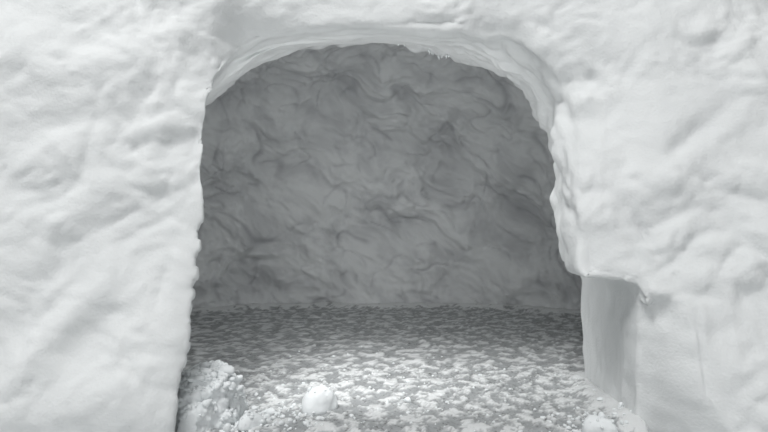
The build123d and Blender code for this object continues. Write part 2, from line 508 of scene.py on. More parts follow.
@dataclass(frozen=True)
class Relief:
    """One kind of unevenness in the snow: how large its forms are and how high they stand."""

    size: float
    height: float

    def swell(self, place: Vector, offset: Vector = ORIGIN) -> float:
        """Soft swellings and dips, from the part of the pattern that the offset picks."""
        return noise.noise(place / self.size + offset) * self.height

    def wrinkle(self, place: Vector, octaves: int) -> float:
        """Swellings with finer ones on them, in as many sizes as there are octaves."""
        return noise.fractal(place / self.size, 0.8, 2.1, octaves) * self.height

    def bend(self, place: Vector) -> Vector:
        """A soft move in all directions."""
        return noise.noise_vector(place / self.size) * self.height

    def billow(self, place: Vector, octaves: int = 3) -> float:
        """Rounded lumps with soft creases between them.

        Args:
            place: The place on the snow.
            octaves: How many sets of lumps there are, each half the size of the one before.

        Returns:
            The height there, about -0.3 to 0.5 of the full height.
        """
        share = 0.0
        for octave in range(octaves):
            scale = 2**octave
            share += (abs(noise.noise(place * (scale / self.size))) - 0.22) / scale**1.2
        return share * self.height


@dataclass(frozen=True)
class ShavedPanel:
    """The upright face shaved beside the rebate, with a wider toe, and the front that it joins.

    The solids set it back behind the front. In the photograph its far side runs out flush with it.
    """

    near_x: float = 0.455
    far_x: float = 0.526
    toe_reach: float = 0.075  # how much further across it runs at the ground
    toe_top: float = 0.120
    top: float = 0.285
    near_y: float = -0.9125  # its near side, at the ground
    near_lean: float = -0.0875  # how far that side moves along Y for each metre up
    eased_y: float = -0.895  # nothing further in is moved
    eased_x: tuple[float, float] = (0.44, 0.66)
    flush: float = 0.003  # how far behind the front its far side ends
    front_y: float = -0.985
    front_lean: float = math.radians(13)
    front_radius: float = 2.5
    smooth_x: tuple[float, float] = (0.56, 0.60)  # where its smooth face gives way to rough snow
    smooth_z: tuple[float, float] = (0.24, 0.28)

    def share(self, place: Vector) -> float:
        """How much a place belongs to the panel's smooth face.

        Args:
            place: The point on the skin.

        Returns:
            A share from 0 to 1.
        """
        across = ramp(self.near_x - 0.01, self.near_x + 0.01, place.x)
        across *= 1 - ramp(*self.smooth_x, place.x)
        return across * (1 - ramp(*self.smooth_z, place.z))

    def ease(self, skin: BMesh) -> None:
        """Brings the panel's far side out to the front face.

        Args:
            skin: The skin before it is worked.
        """
        low_x, high_x = self.eased_x
        for vert in skin.verts:
            x, y, z = vert.co
            if y > self.eased_y or not low_x < x < high_x or z > self.top:
                continue
            curve = self.front_radius - math.sqrt(self.front_radius**2 - x**2)
            front_y = self.front_y + z * math.tan(self.front_lean) - curve
            near_y = self.near_y + self.near_lean * z
            far_x = self.far_x + self.toe_reach * max(1 - z / self.toe_top, 0.0)
            share = ramp(self.near_x, far_x, x)
            vert.co.y = min(y, near_y + (front_y + self.flush - near_y) * share)


@dataclass
class HandWork:
    """The relief that shovels, hands and packing left in the snow, as a height at each place."""

    chamber_middle: Vector = field(default_factory=lambda: Vector((0.0, -0.115, 0.35)))
    chamber_edge_y: float = -0.47
    front_start_y: float = -0.62
    hollow_depth: float = 0.018
    left_hollow: float = 0.022  # how far the doorway's left side is dug out
    crease_depth: float = 0.008
    packing: Relief = Relief(0.34, 0.026)
    packed_lumps: Relief = Relief(0.13, 0.013)
    scallops: Relief = Relief(0.08, 0.014)
    front_swells: Relief = Relief(0.24, 0.018)
    front_dents: Relief = Relief(0.105, 0.008)
    front_bend: Relief = Relief(0.11, 0.03)
    shovel_reach: tuple[float, float, float] = (0.24, 0.075, 0.2)  # along, across and into it
    shovel_depth: float = 0.007
    patted_lumps: Relief = Relief(0.090, 0.021)
    patted_grains: Relief = Relief(0.042, 0.0050)
    passage_swells: Relief = Relief(0.16, 0.010)
    passage_lumps: Relief = Relief(0.085, 0.006)
    upper_right_share: float = 3.0  # how much higher the lumps stand there than elsewhere
    swellings: Relief = Relief(0.26, 0.045)
    folds: Relief = Relief(0.12, 0.034)
    fold_bend: Relief = Relief(0.15, 0.04)
    ragged_foot: Relief = Relief(0.035, 0.004)
    ragged_edge: Relief = Relief(0.09, 0.010)
    panel: ShavedPanel = ShavedPanel()
    strokes: Sequence[Stroke] = STROKES
    flares: Sequence[Flare] = FLARES

    def weights(self, place: Vector, normal: Vector) -> dict[Region, float]:
        """How much of each region a place on the skin belongs to.

        Args:
            place: The point on the skin.
            normal: The outward normal there.

        Returns:
            A weight from 0 to 1 for each region, adding up to 1.
        """
        away = (place - self.chamber_middle).normalized()
        inner = ramp(-0.25, 0.25, -normal.dot(away))
        edge_y = self.chamber_edge_y
        chamber = inner * ramp(edge_y - 0.06, edge_y + 0.04, place.y)
        facing = ramp(0.3, 0.75, -normal.y)
        facing *= ramp(0.0, 0.25, self.front_start_y - place.y + 0.2)
        front = (1 - inner) * facing
        return {
            Region.CHAMBER: chamber,
            Region.PASSAGE: inner - chamber,
            Region.FRONT: front,
            Region.OUTSIDE: 1 - inner - front,
        }

    def roundness(self, place: Vector) -> float:
        """How widely an edge is rounded at a place.

        Args:
            place: The point on the skin.

        Returns:
            A share from 0, as it was cut, to 1.
        """
        near_front = 1 - ramp(-0.52, -0.40, place.y)
        right = ramp(-0.05, 0.22, place.x) * ramp(0.29, 0.37, place.z)
        corner = 1 - ramp(-0.22, -0.08, place.x)
        over = (0.22 + 0.55 * corner) * ramp(0.60, 0.76, place.z)
        beside = ramp(0.52, 0.56, place.x) * (1 - ramp(0.70, 0.76, place.x))
        above = ramp(0.46, 0.49, place.x) * ramp(0.22, 0.26, place.z)
        melted = 0.9 * max(beside, above) * (1 - ramp(0.32, 0.38, place.z))
        return max(right, over, melted, 0.10) * near_front

    def outside(self, place: Vector) -> float:
        """Broad uneven packing with soft scallops.

        Args:
            place: The point on the skin.

        Returns:
            The height there.
        """
        broad = self.packing.swell(place)
        lumps = self.packed_lumps.swell(place, Vector((7.1, 0, 0)))
        return broad + lumps + self.scallops.billow(place)

    def front(self, place: Vector) -> float:
        """Shovel strokes that rise to the right, over soft lumps patted by hand.

        Args:
            place: The point on the skin.

        Returns:
            The height there.
        """
        turn = math.radians(38)
        along = place.x * math.cos(turn) + place.z * math.sin(turn)
        beside = place.z * math.cos(turn) - place.x * math.sin(turn)
        bent = place + self.front_bend.bend(place)
        broad = self.front_swells.swell(place) + self.front_dents.swell(place)
        length, width, depth = self.shovel_reach
        swept = Vector((along / length, beside / width, place.y / depth))
        strokes = noise.noise(swept + Vector((3.7, 1.9, 0))) * self.shovel_depth
        worked = ramp(-0.25, 0.35, noise.noise(place / 0.17 + Vector((5.3, 0, 2.2))))
        jamb_lumps = math.exp(-(((place.x + 0.43) / 0.10) ** 2) - ((place.z - 0.58) / 0.22) ** 2)
        rough = 0.30 + 0.70 * max(worked, jamb_lumps)
        lumps = self.patted_lumps.billow(bent) * rough
        lumps += self.patted_grains.wrinkle(bent, 3) * (0.35 + 0.65 * rough)
        relief = broad + strokes + lumps + sum(s.lift(place) for s in self.strokes)
        streaks = noise.noise(Vector((place.x / 0.012, place.z / 0.16, 0.0))) * 0.0035
        panel = self.panel.share(place)
        return relief * (1 - 0.85 * panel) + streaks * panel

    def passage(self, place: Vector) -> float:
        """Thin layers in the soffit, lumps at the upper right and spade streaks low down.

        Args:
            place: The point on the skin.

        Returns:
            The height there.
        """
        broad = self.passage_swells.swell(place, Vector((0, 4.2, 0)))
        overhead = ramp(0.62, 0.78, place.z)
        layer_place = Vector((place.x / 0.11, place.y / 0.022, place.z / 0.022))
        layers = noise.noise(layer_place) * 0.005 * overhead
        upper_right = ramp(0.02, 0.22, place.x) * ramp(0.30, 0.45, place.z)
        lumps = self.passage_lumps.billow(place) * (1 + self.upper_right_share * upper_right)
        low = 1 - ramp(0.26, 0.32, place.z)
        streaks = noise.noise(Vector((place.y / 0.010, place.z / 0.10, place.x))) * 0.0018 * low
        left = (1 - ramp(-0.30, -0.22, place.x)) * (1 - ramp(0.62, 0.74, place.z))
        return broad + layers + lumps * (1 - 0.7 * low) + streaks - self.left_hollow * left

    def folded(self, place: Vector) -> Vector:
        """Bends a place and draws it out along the folds, which fall to the right.

        Args:
            place: The point on the skin.

        Returns:
            The bent place.
        """
        fall = math.radians(35)
        along = place.x * math.cos(fall) - place.z * math.sin(fall)
        beside = place.x * math.sin(fall) + place.z * math.cos(fall)
        return Vector((along / 1.7, place.y, beside)) + self.fold_bend.bend(place)

    def creases(self, place: Vector) -> float:
        """The short wandering creases of the chamber's wall.

        Args:
            place: The point on the skin.

        Returns:
            How deep a crease is there, from 0 to 1.
        """
        bent = self.folded(place)
        deepest = 0.0
        for size, depth, width in ((0.15, 1.0, 0.045), (0.075, 0.7, 0.06)):
            value = noise.noise(bent / size + Vector((0, 0, 9.3)))
            kept = ramp(-0.10, 0.25, noise.noise(place / size + Vector((4.4, 0, 0))))
            deepest = max(deepest, depth * kept * math.exp(-((value / width) ** 2)))
        return deepest

    def chamber(self, place: Vector) -> float:
        """Dug folds: soft wrinkles at several sizes, with short thin creases.

        Args:
            place: The point on the skin.

        Returns:
            The height there.
        """
        bent = self.folded(place)
        folded = self.swellings.swell(place) + self.folds.wrinkle(bent, 4)
        return folded - self.crease_depth * self.creases(place)

    def height(self, place: Vector, weights: dict[Region, float]) -> float:
        """The height of the relief at a place.

        Args:
            place: The point on the skin.
            weights: How much of each region it belongs to.

        Returns:
            How far the skin moves along its normal.
        """
        reliefs = {
            Region.OUTSIDE: self.outside,
            Region.FRONT: self.front,
            Region.PASSAGE: self.passage,
            Region.CHAMBER: self.chamber,
        }
        return sum(w * reliefs[region](place) for region, w in weights.items() if w > 0.001)

    def painted_hollow_shade(self, place: Vector, height: float, weights: dict[Region, float]) -> float:
        """How much painted shade darkens a hollow or a crease, which is most inside the chamber.

        Args:
            place: The point on the skin.
            height: The height of the relief.
            weights: How much of each region it belongs to.

        Returns:
            A share from 0 to 1.
        """
        # Painted shade: outside the chamber, hollows darken a little with their depth
        share = 0.30 * ramp(0.0, 0.030, -height) * (1 - weights[Region.CHAMBER])
        if weights[Region.CHAMBER] > 0.01:
            bent = self.folded(place)
            patches = ramp(-0.35, 0.65, noise.fractal(bent / 0.085, 0.7, 2.1, 4))
            low = ramp(-0.020, 0.050, -height)
            # Painted shade in the chamber: its creases and low places, plus a faint grey over the
            # whole wall and random grey patches
            dug = 0.15 + 0.35 * patches + 0.30 * low + 0.45 * self.creases(place)
            share += dug * weights[Region.CHAMBER]
        return min(share, 1.0)

    def shift(self, place: Vector) -> Vector:
        """Moves that don't follow the normal: the flared corners, and ragged edges.

        Args:
            place: The point on the skin.

        Returns:
            How far the skin moves.
        """
        if place.y > self.front_start_y:
            return Vector()
        near = 1 - ramp(-0.74, -0.64, place.y)
        across = ramp(-0.355, -0.270, place.x) * (1 - ramp(-0.26, -0.02, place.x))
        upward = ramp(0.62, 0.72, place.z) * (1 - ramp(0.92, 1.10, place.z))
        move = Vector((0.0, self.hollow_depth * across * upward, 0.0))
        move += sum((flare.shift(place) for flare in self.flares), Vector())
        move *= near
        foot = ramp(0.32, 0.40, place.x) * (1 - ramp(0.62, 0.70, place.x))
        foot *= 1 - ramp(0.33, 0.38, place.z)
        left_edge = math.exp(-(((place.x + 0.33) / 0.04) ** 2))
        left_edge *= 1 - ramp(0.70, 0.85, place.z)
        move += self.ragged_foot.bend(place) * foot
        move += self.ragged_edge.bend(place) * left_edge
        return move


@dataclass(frozen=True)
class Divisions:
    """Where the CAD model divides the shell: the tops of its lifts, and the arch's three pieces."""

    foot_top: float
    wall_top: float
    roof_top: float
    middle_y: float  # the sectors meet at an upright line there
    arch_half_width: float

    @classmethod
    def read(cls) -> "Divisions":
        """Reads them from the CAD nodes.

        Returns:
            The divisions.
        """
        return cls(
            foot_top=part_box("foot_wall_back_left")[1].z,
            wall_top=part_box("upper_wall_back_left")[1].z,
            roof_top=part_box("roof_back")[1].z,
            middle_y=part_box("foot_wall_right_back")[0].y,
            arch_half_width=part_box("arch_top")[1].x,
        )

    def sector(self, start: float, width: float) -> list[tuple[Vector, Vector]]:
        """The two upright planes that bound a sector of a lift.

        Args:
            start: The direction of its first side, in degrees anticlockwise from +X.
            width: Its width in degrees.

        Returns:
            A point and an outward normal for each plane.
        """
        middle = Vector((0.0, self.middle_y, 0.0))
        first, last = math.radians(start), math.radians(start + width)
        return [
            (middle, Vector((math.sin(first), -math.cos(first), 0.0))),
            (middle, Vector((-math.sin(last), math.cos(last), 0.0))),
        ]


@dataclass
class SnowShell:
    """The walls, arch and roof: one worked skin, divided into the parts of the CAD model."""

    voxel: float = 0.012
    rounding_steps: int = 42
    lip_steps: int = 6
    lip_foot: float = 0.60  # the lip is the doorway's edge above this height
    lip_shares: tuple[float, float] = (0.08, 0.95)  # the least and most that it is passage
    foot_drop: float = 0.05
    fine_heights: tuple[float, float] = (-0.02, 1.05)  # where faces may be divided finer
    fine_half_width: float = 1.02
    fine_front: tuple[float, float] = (0.75, -0.45)  # half width, and how far in it ends
    fine_chamber_y: float = -0.3
    work: HandWork = field(default_factory=HandWork)
    finish: SnowFinish = SnowFinish("packed_snow", "#E8EAEA", "#DCDFDF")

    def skin(self, nodes: Sequence[bpy.types.Object]) -> BMesh:
        """Makes the smooth skin, drawn down below ground so that its foot is cut clean later.

        Args:
            nodes: The CAD nodes of the shell.

        Returns:
            The skin before it is worked.
        """
        joined = merged_copy(nodes)
        for vert in joined.verts:
            if vert.co.z < MERGE_DISTANCE:
                vert.co.z = -self.foot_drop
        skin = remeshed(joined, self.voxel)
        relax(skin, skin.verts[:])
        return skin

    def soften(self, skin: BMesh) -> None:
        """Rounds the doorway's edges: widely at the right, less overhead and least at the left.

        Args:
            skin: The skin before it is worked.
        """
        shares = [(vert, self.work.roundness(vert.co)) for vert in skin.verts]
        for step in range(self.rounding_steps):
            relax(skin, [vert for vert, share in shares if share * self.rounding_steps > step])

    def refine(self, skin: BMesh) -> None:
        """Divides the faces that show most: the front, the doorway and the chamber.

        Args:
            skin: The skin before it is worked.
        """
        skin.normal_update()
        low, high = self.fine_heights
        half_width, end_y = self.fine_front
        fine = []
        for edge in skin.edges:
            place = edge.verts[0].co
            if not low < place.z < high or abs(place.x) > self.fine_half_width:
                continue
            weights = self.work.weights(place, edge.verts[0].normal)
            if place.y < end_y and abs(place.x) < half_width and weights[Region.OUTSIDE] < 0.9:
                fine.append(edge)
            elif weights[Region.CHAMBER] > 0.5 and place.y > self.fine_chamber_y:
                fine.append(edge)
        bmesh.ops.subdivide_edges(skin, edges=fine, cuts=1, use_grid_fill=True)
        relax(skin, skin.verts[:])
        skin.normal_update()

    def sculpt(self, skin: BMesh, low: Vector, high: Vector) -> None:
        """Works the skin, keeps it inside the CAD model's box, and notes its normals.

        Args:
            skin: The skin to work.
            low: The lowest corner of the shell's CAD nodes.
            high: Their highest corner.
        """
        hollow = skin.verts.layers.float.new(HOLLOW_SHADE)
        least, most = self.lip_shares
        moves = []
        lip = []
        for vert in skin.verts:
            weights = self.work.weights(vert.co, vert.normal)
            height = self.work.height(vert.co, weights)
            # Painted shade for the hollows and creases, kept on each point
            vert[hollow] = self.work.painted_hollow_shade(vert.co, height, weights)
            moves.append(vert.normal * height + self.work.shift(vert.co))
            overhead = vert.co.z > self.lip_foot and vert.co.y < self.work.front_start_y
            if overhead and least < weights[Region.PASSAGE] < most:
                lip.append(vert)
        for vert, move in zip(skin.verts, moves, strict=True):
            place = vert.co + move
            for axis in (0, 1):
                place[axis] = min(max(place[axis], low[axis]), high[axis])
            place.z = min(place.z, high.z)
            vert.co = place
        for _ in range(self.lip_steps):
            relax(skin, lip)
        keep_normals(skin)

    def parts(self, skin: BMesh) -> dict[str, BMesh]:
        """Divides the skin along the same planes as the CAD model.

        Wedges are cut before lifts, so that no cut goes all round the chamber.

        Args:
            skin: The worked skin.

        Returns:
            Each part's mesh, by the name of its CAD node.
        """
        divisions = Divisions.read()
        foot_top, wall_top, roof_top = (
            UP * top for top in (divisions.foot_top, divisions.wall_top, divisions.roof_top)
        )
        foot = ((ORIGIN, -UP), (foot_top, UP))
        upper = ((foot_top, -UP), (wall_top, UP))
        roof = ((wall_top, -UP), (roof_top, UP))
        parts = {"roof_cap": cut(skin, [(roof_top, -UP)])}
        for number, place in enumerate(WALL_PLACES):
            sector = divisions.sector(WALL_START + WALL_SECTOR * number, WALL_SECTOR)
            wedge = cut(skin, sector)
            parts[f"foot_wall_{place}"] = cut(wedge, foot)
            parts[f"upper_wall_{place}"] = cut(wedge, upper)
            wedge.free()
        for number, place in enumerate(ROOF_PLACES):
            sector = divisions.sector(ROOF_SECTOR * number, ROOF_SECTOR)
            parts[f"roof_{place}"] = cut(skin, (*sector, *roof))
        front = cut(skin, divisions.sector(FRONT_START, FRONT_SECTOR))
        jambs = cut(front, foot)
        arch = cut(front, upper)
        front.free()
        right = Vector((1, 0, 0))
        edge = right * divisions.arch_half_width
        parts["left_jamb"] = cut(jambs, [(ORIGIN, right)])
        parts["right_jamb"] = cut(jambs, [(ORIGIN, -right)])
        parts["arch_left_haunch"] = cut(arch, [(-edge, right)])
        parts["arch_top"] = cut(arch, [(-edge, -right), (edge, right)])
        parts["arch_right_haunch"] = cut(arch, [(edge, -right)])
        jambs.free()
        arch.free()
        return parts

    def build(self, frame: dict) -> BVHTree:
        """Builds every part of the shell and lets it stand for its CAD node.

        Args:
            frame: The loaded frame.

        Returns:
            The worked skin as a tree, for what lies against it.
        """
        loose = ("_floor", "_clod", "crumb_heap")
        nodes = [node for name, node in frame["nodes"].items() if not name.endswith(loose)]
        low, high = box_round(nodes)
        skin = self.skin(nodes)
        LOG.info("skin: %d faces", len(skin.faces))
        self.work.panel.ease(skin)
        self.soften(skin)
        self.refine(skin)
        LOG.info("refined skin: %d faces", len(skin.faces))
        self.sculpt(skin, low, high)
        LOG.info("sculpted")
        material = self.finish.material()
        for name, part in self.parts(skin).items():
            piece = finished_piece(f"{name}_snow", part, material)
            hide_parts(name)
        tree = BVHTree.FromBMesh(skin)
        skin.free()
        return tree


def box_round(nodes: Sequence[bpy.types.Object]) -> tuple[Vector, Vector]:
    """The box round some CAD nodes together.

    Args:
        nodes: The CAD nodes.

    Returns:
        Its lowest and highest corner.
    """
    boxes = [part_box(node.name) for node in nodes]
    low = Vector([min(box[0][axis] for box in boxes) for axis in range(3)])
    high = Vector([max(box[1][axis] for box in boxes) for axis in range(3)])
    return low, high


def finished_piece(name: str, mesh: BMesh, material: bpy.types.Material) -> bpy.types.Object:
    """Makes a piece that rides on the igloo's body, smooth but for its flat cuts.

    Args:
        name: The piece's name.
        mesh: Its mesh, which is freed.
        material: Its material.

    Returns:
        The piece.
    """
    data = bpy.data.meshes.new(name)
    mesh.to_mesh(data)
    mesh.free()
    data.materials.append(material)
    kept = data.attributes.get(SKIN_NORMAL)
    if kept is not None:
        normals = [Vector(value.vector) for value in kept.data]
        flat = Vector()
        loops = [flat] * len(data.loops)
        for polygon in data.polygons:
            if polygon.use_smooth:
                for loop in polygon.loop_indices:
                    loops[loop] = normals[data.loops[loop].vertex_index].normalized()
        data.normals_split_custom_set(loops)
        data.attributes.remove(data.attributes[SKIN_NORMAL])
    triangles = sum(len(polygon.vertices) - 2 for polygon in data.polygons)
    LOG.info("%s: %d triangles", name, triangles)
    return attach(placed(name, data), BODY)


@dataclass(frozen=True)
class TrampledFinish:
    """Trampled snow: packed to grey ice where it is trodden, white where loose snow lies on it.

    Trodden ice is smoother, so it has a little gloss, and it holds gritty specks of dirt a few
    millimetres across.
    """

    name: str = "trampled_snow"
    loose: str = "#D9DBDB"
    trodden: str = "#A3A6A7"
    dirt: str = "#5B5955"
    speck_mm: float = 8.0
    patch_mm: float = 16.0
    grain_mm: float = 5.0
    grain_depth_mm: float = 1.5

    def material(self) -> bpy.types.Material:
        """Builds the material.

        Returns:
            The material.
        """
        material = empty_material(self.name)
        tree = material.node_tree
        place = add_node(tree, "ShaderNodeTexCoord").outputs["Object"]
        fresh = add_node(tree, "ShaderNodeAttribute", {"attribute_name": FRESH}).outputs["Fac"]
        patches, specks, grain = (
            add_node(
                tree,
                "ShaderNodeTexNoise",
                inputs={"Vector": place, "Scale": 1000 / size, "Detail": fine, "Roughness": rough},
            ).outputs["Fac"]
            for size, fine, rough in (
                (self.patch_mm, 6.0, 0.62),
                (self.speck_mm, 5.0, 0.70),
                (self.grain_mm, 4.0, 0.50),
            )
        )
        share = add_node(
            tree, "ShaderNodeMath", {"operation": "MULTIPLY_ADD"}, {0: patches, 1: 0.9, 2: fresh}
        ).outputs[0]
        loose = add_node(
            tree, "ShaderNodeMapRange", inputs={"Value": share, "From Min": 0.55, "From Max": 1.25}
        ).outputs[0]
        shades = {MIX_FIRST: to_linear(self.trodden), MIX_SECOND: to_linear(self.loose)}
        snow = add_node(
            tree, "ShaderNodeMix", {"data_type": "RGBA"}, {"Factor": loose, **shades}
        ).outputs[MIX_RESULT]
        dirty = add_node(
            tree,
            "ShaderNodeMapRange",
            inputs={"Value": specks, "From Min": 0.54, "From Max": 0.66, "To Max": 0.85},
        ).outputs[0]
        bare = add_node(
            tree, "ShaderNodeMath", {"operation": "SUBTRACT", "use_clamp": True}, {0: 1.0, 1: loose}
        ).outputs[0]
        dirt_share = add_node(
            tree, "ShaderNodeMath", {"operation": "MULTIPLY"}, {0: dirty, 1: bare}
        ).outputs[0]
        shades = {MIX_FIRST: snow, MIX_SECOND: to_linear(self.dirt)}
        colour = add_node(
            tree, "ShaderNodeMix", {"data_type": "RGBA"}, {"Factor": dirt_share, **shades}
        ).outputs[MIX_RESULT]
        gloss = add_node(
            tree, "ShaderNodeMapRange", inputs={"Value": loose, "To Min": 0.42, "To Max": 0.85}
        ).outputs[0]
        depth = self.grain_depth_mm / 1000
        bump = add_node(
            tree, "ShaderNodeBump", inputs={"Height": grain, "Distance": depth, "Strength": 1.0}
        ).outputs["Normal"]
        shader = add_node(
            tree,
            "ShaderNodeBsdfPrincipled",
            inputs={"Base Color": colour, "Roughness": gloss, "IOR": ICE_IOR, "Normal": bump},
        )
        add_node(tree, "ShaderNodeOutputMaterial", inputs={"Surface": shader.outputs["BSDF"]})
        return material


@dataclass
class TrampledFloor:
    """The floor of the chamber and the doorway, trodden hard, with loose snow along the walls."""

    voxel: float = 0.008
    tuck: float = 0.015  # how far its edge runs into the walls
    foot_drop: float = 0.04
    worked_from: float = 0.02  # the height above which it is worked
    fine_y: float = -0.5  # in front of this its faces are finer
    swells: Relief = Relief(0.15, 0.005)
    dents: Relief = Relief(0.04, 0.003)
    granules: Relief = Relief(0.016, 0.004)
    patch_size: float = 0.035
    fresh_height: float = 0.004
    drift_reach: float = 0.035
    drift_height: float = 0.016
    feather_depth: float = 0.09
    finish: TrampledFinish = TrampledFinish()

    def slab(self, nodes: Sequence[bpy.types.Object], front_y: float) -> BMesh:
        """Makes the even slab, tucked into the walls and drawn down below ground.

        Args:
            nodes: The CAD nodes of the floor.
            front_y: Where the floor ends at the front.

        Returns:
            The slab before it is worked.
        """
        joined = merged_copy(nodes)
        joined.normal_update()
        moves = []
        for vert in joined.verts:
            outward = Vector()
            for face in vert.link_faces:
                if abs(face.normal.z) < 0.5:
                    outward += face.normal * face.calc_area()
            outward.z = 0.0
            moves.append(outward.normalized() * self.tuck if outward.length > 0 else Vector())
        for vert, move in zip(joined.verts, moves, strict=True):
            vert.co += move
            vert.co.y = max(vert.co.y, front_y)
            if vert.co.z < MERGE_DISTANCE:
                vert.co.z = -self.foot_drop
        return remeshed(joined, self.voxel)

    def tread(self, place: Vector, to_wall: float) -> tuple[float, float]:
        """The relief of the trodden floor.

        Args:
            place: The point on the floor.
            to_wall: How far the nearest wall is.

        Returns:
            How far the snow stands up, and how much of it is loose snow from 0 to 1.
        """
        flat = Vector((place.x, place.y, 0.0))
        patch = noise.fractal(flat / self.patch_size, 0.35, 2.2, 5)
        drift = math.exp(-((to_wall / self.drift_reach) ** 2))
        fresh = ramp(-0.25, 0.55, patch + 0.9 * drift)
        trodden = self.swells.swell(flat) + self.dents.swell(flat)
        loose = self.fresh_height * fresh + self.drift_height * drift
        return trodden + self.granules.billow(flat, 2) + loose, fresh

    def feather(self, place: Vector, front_y: float) -> float:
        """How much of its thickness the floor keeps: it thins unevenly at the front.

        Args:
            place: The point on the floor.
            front_y: Where the floor ends at the front.

        Returns:
            A share from nearly 0 to 1.
        """
        uneven = noise.noise(place / 0.05) * 0.5 + noise.noise(place / 0.018) * 0.25
        depth = (place.y - front_y) / self.feather_depth - 0.35 * (1 + uneven)
        return max(ramp(-0.15, 0.65, depth), 0.06)

    def build(self, frame: dict, walls: BVHTree) -> BVHTree:
        """Builds the two pieces of the floor.

        Args:
            frame: The loaded frame.
            walls: The worked skin of the shell.

        Returns:
            The floor's surface as a tree, for what lies on it.
        """
        names = ("chamber_floor", "doorway_floor")
        nodes = [frame["nodes"][name] for name in names]
        low, _ = box_round(nodes)
        slab = self.slab(nodes, low.y)
        firsts = [(edge, edge.verts[0].co) for edge in slab.edges]
        near_door = [edge for edge, place in firsts if place.y < self.fine_y and place.z > 0.01]
        bmesh.ops.subdivide_edges(slab, edges=near_door, cuts=1, use_grid_fill=True)
        slab.normal_update()
        fresh = slab.verts.layers.float.new(FRESH)
        for vert in slab.verts:
            if vert.co.z > self.worked_from:
                to_wall = walls.find_nearest(vert.co)[3]
                raised, vert[fresh] = self.tread(vert.co, to_wall)
                vert.co.z = (vert.co.z + raised) * self.feather(vert.co, low.y)
        keep_normals(slab)
        back = Vector((0, 1, 0))
        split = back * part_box("chamber_floor")[0].y
        material = self.finish.material()
        for name, side in (("chamber_floor", -back), ("doorway_floor", back)):
            part = cut(slab, [(ORIGIN, -UP), (split, side)])
            piece = finished_piece(f"{name}_snow", part, material)
            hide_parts(name)
        tree = BVHTree.FromBMesh(slab)
        slab.free()
        return tree


@dataclass(frozen=True)
class Scatter:
    """A patch of crumbs: its middle, how far it spreads, and how many and how large they are."""

    middle: Vector
    spread: float
    count: int
    size: float


SCATTERS = (
    Scatter(Vector((-0.32, -0.89)), 0.040, 420, 0.0042),
    Scatter(Vector((-0.24, -0.90)), 0.070, 260, 0.0028),
    Scatter(Vector((0.38, -0.94)), 0.050, 120, 0.0030),
    Scatter(Vector((0.02, -0.82)), 0.220, 260, 0.0020),
)

# How far the crumbs stand out that stick to each lump
LUMP_ROUGHNESS = {"round_clod": 0.10, "long_clod": 0.12, "corner_clod": 0.10, "crumb_heap": 0.75}


